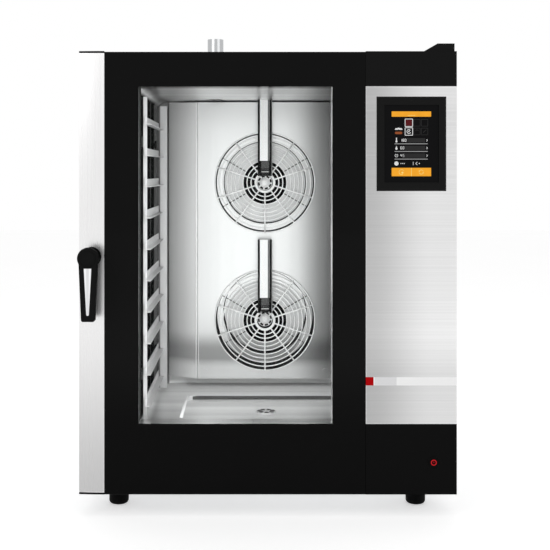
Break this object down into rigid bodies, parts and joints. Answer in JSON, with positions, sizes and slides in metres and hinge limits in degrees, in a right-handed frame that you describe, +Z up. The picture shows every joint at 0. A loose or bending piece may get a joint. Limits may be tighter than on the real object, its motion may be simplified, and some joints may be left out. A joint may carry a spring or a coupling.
{
  "type": "combi steamer oven",
  "caption": "Floor-standing cabinet on four feet with a full-width glazed swing door, lever handle, touch panel, tray racks and two convection fans.",
  "frame": {"origin": "on the floor, under the middle of the whole oven", "axes": "+X to the right seen from the front, +Y to the back, +Z up; the door faces -Y"},
  "size_m": [0.93, 0.89, 1.242],
  "materials": {
    "cavity_steel": "satin stainless steel of the cavity and racks",
    "brushed_steel": "fine brushed stainless steel",
    "plain_steel": "plain machined or folded steel",
    "mineral_wool": "pressed mineral wool",
    "black_seal": "matt black silicone",
    "black_enamel": "black print on the back of the glass",
    "black_gloss": "gloss black fascia",
    "clear_glass": "clear toughened glass",
    "screen": null,
    "black_plastic": "satin black moulded plastic",
    "silver_inlay": "satin silver inlay",
    "red_button": "lit red ring on black",
    "stripe_label": "printed film in red, grey and near white",
    "motor_paint": "dark grey painted motor",
    "element_tube": "heat-darkened steel tube",
    "brass": "machined brass",
    "circuit_board": "green circuit board"
  },
  "bodies": {
    "cabinet": {"base_chassis": "plain_steel", "left_side_panel": "brushed_steel", "right_side_panel": "brushed_steel", "top_cover": "brushed_steel", "rear_panel": "brushed_steel", "front_frame": "brushed_steel", "cavity_liner": "cavity_steel", "cavity_insulation": "mineral_wool", "door_gasket": "black_seal", "drain_strainer": "cavity_steel", "drain_pipe": "plain_steel", "fan_baffle": "cavity_steel", "baffle_fixings": "cavity_steel", "rack_studs": "cavity_steel", "exhaust_pipe": "brushed_steel", "hinge_brackets": "plain_steel", "hinge_pins": "plain_steel", "hinge_cover": "black_plastic", "latch_keeper": "plain_steel", "water_inlet": "brass", "cable_gland": "black_plastic", "power_board": "circuit_board", "fan_motors": "motor_paint", "heating_elements": "element_tube", "upper_fan_guard": "cavity_steel", "lower_fan_guard": "cavity_steel", "upper_injector_channel": "cavity_steel", "lower_injector_channel": "cavity_steel"},
    "door": {"door_frame": "brushed_steel", "outer_glass": "clear_glass", "glass_mask": "black_enamel", "inner_glass": "clear_glass", "glass_clips": "plain_steel", "side_strip": "brushed_steel", "strip_end_caps": "black_plastic", "control_fascia": "black_gloss", "control_panel": "brushed_steel", "screen_bezel": "black_plastic", "screen_glass": "screen", "control_board": "circuit_board", "stripe_label": "stripe_label", "button_bezel": "black_plastic", "hinge_bushes": "brass", "handle_rosette": "black_plastic"},
    "handle": {"handle_lever": "black_plastic", "handle_inlay": "silver_inlay", "handle_spindle": "plain_steel", "latch_tongue": "plain_steel"},
    "power_button": {"power_button": "red_button"},
    "upper_fan": {"upper_fan_wheel": "plain_steel", "upper_fan_shaft": "plain_steel"},
    "lower_fan": {"lower_fan_wheel": "plain_steel", "lower_fan_shaft": "plain_steel"},
    "left_rack": {"left_rack": "cavity_steel"},
    "right_rack": {"right_rack": "cavity_steel"},
    "damper": {"damper_flap": "plain_steel"},
    "foot_front_left": {"foot_front_left": "black_plastic"},
    "foot_front_right": {"foot_front_right": "black_plastic"},
    "foot_rear_left": {"foot_rear_left": "black_plastic"},
    "foot_rear_right": {"foot_rear_right": "black_plastic"}
  },
  "joints": [
    {"name": "door_swing", "type": "hinge", "parent": "cabinet", "child": "door", "pos_m": [0.45, -0.35, 0.6], "axis": [0, 0, 1], "range_deg": [0, 115]},
    {"name": "handle_turn", "type": "hinge", "parent": "door", "child": "handle", "pos_m": [-0.43385, -0.41, 0.6394], "axis": [0, -1, 0], "range_deg": [0, 90]},
    {"name": "power_button_press", "type": "slide", "parent": "door", "child": "power_button", "axis": [0, 1, 0], "range_m": [0, 0.0015], "stiffness_N_per_m": 400},
    {"name": "upper_fan_spin", "type": "hinge", "parent": "cabinet", "child": "upper_fan", "pos_m": [0, 0.245, 0.815], "axis": [0, 1, 0], "continuous": true},
    {"name": "lower_fan_spin", "type": "hinge", "parent": "cabinet", "child": "lower_fan", "pos_m": [0, 0.245, 0.399], "axis": [0, 1, 0], "continuous": true},
    {"name": "left_rack_lift", "type": "slide", "parent": "cabinet", "child": "left_rack", "axis": [0, 0, 1], "range_m": [0, 0.015]},
    {"name": "right_rack_lift", "type": "slide", "parent": "cabinet", "child": "right_rack", "axis": [0, 0, 1], "range_m": [0, 0.015]},
    {"name": "damper_turn", "type": "hinge", "parent": "cabinet", "child": "damper", "pos_m": [-0.148, 0.17, 1.121], "axis": [1, 0, 0], "range_deg": [0, 90]},
    {"name": "foot_front_left_screw", "type": "hinge", "parent": "cabinet", "child": "foot_front_left", "pos_m": [-0.38, -0.27, 0.03], "axis": [0, 0, 1], "continuous": true},
    {"name": "foot_front_right_screw", "type": "hinge", "parent": "cabinet", "child": "foot_front_right", "pos_m": [0.38, -0.27, 0.03], "axis": [0, 0, 1], "continuous": true},
    {"name": "foot_rear_left_screw", "type": "hinge", "parent": "cabinet", "child": "foot_rear_left", "pos_m": [-0.38, 0.365, 0.03], "axis": [0, 0, 1], "continuous": true},
    {"name": "foot_rear_right_screw", "type": "hinge", "parent": "cabinet", "child": "foot_rear_right", "pos_m": [0.38, 0.365, 0.03], "axis": [0, 0, 1], "continuous": true}
  ]
}
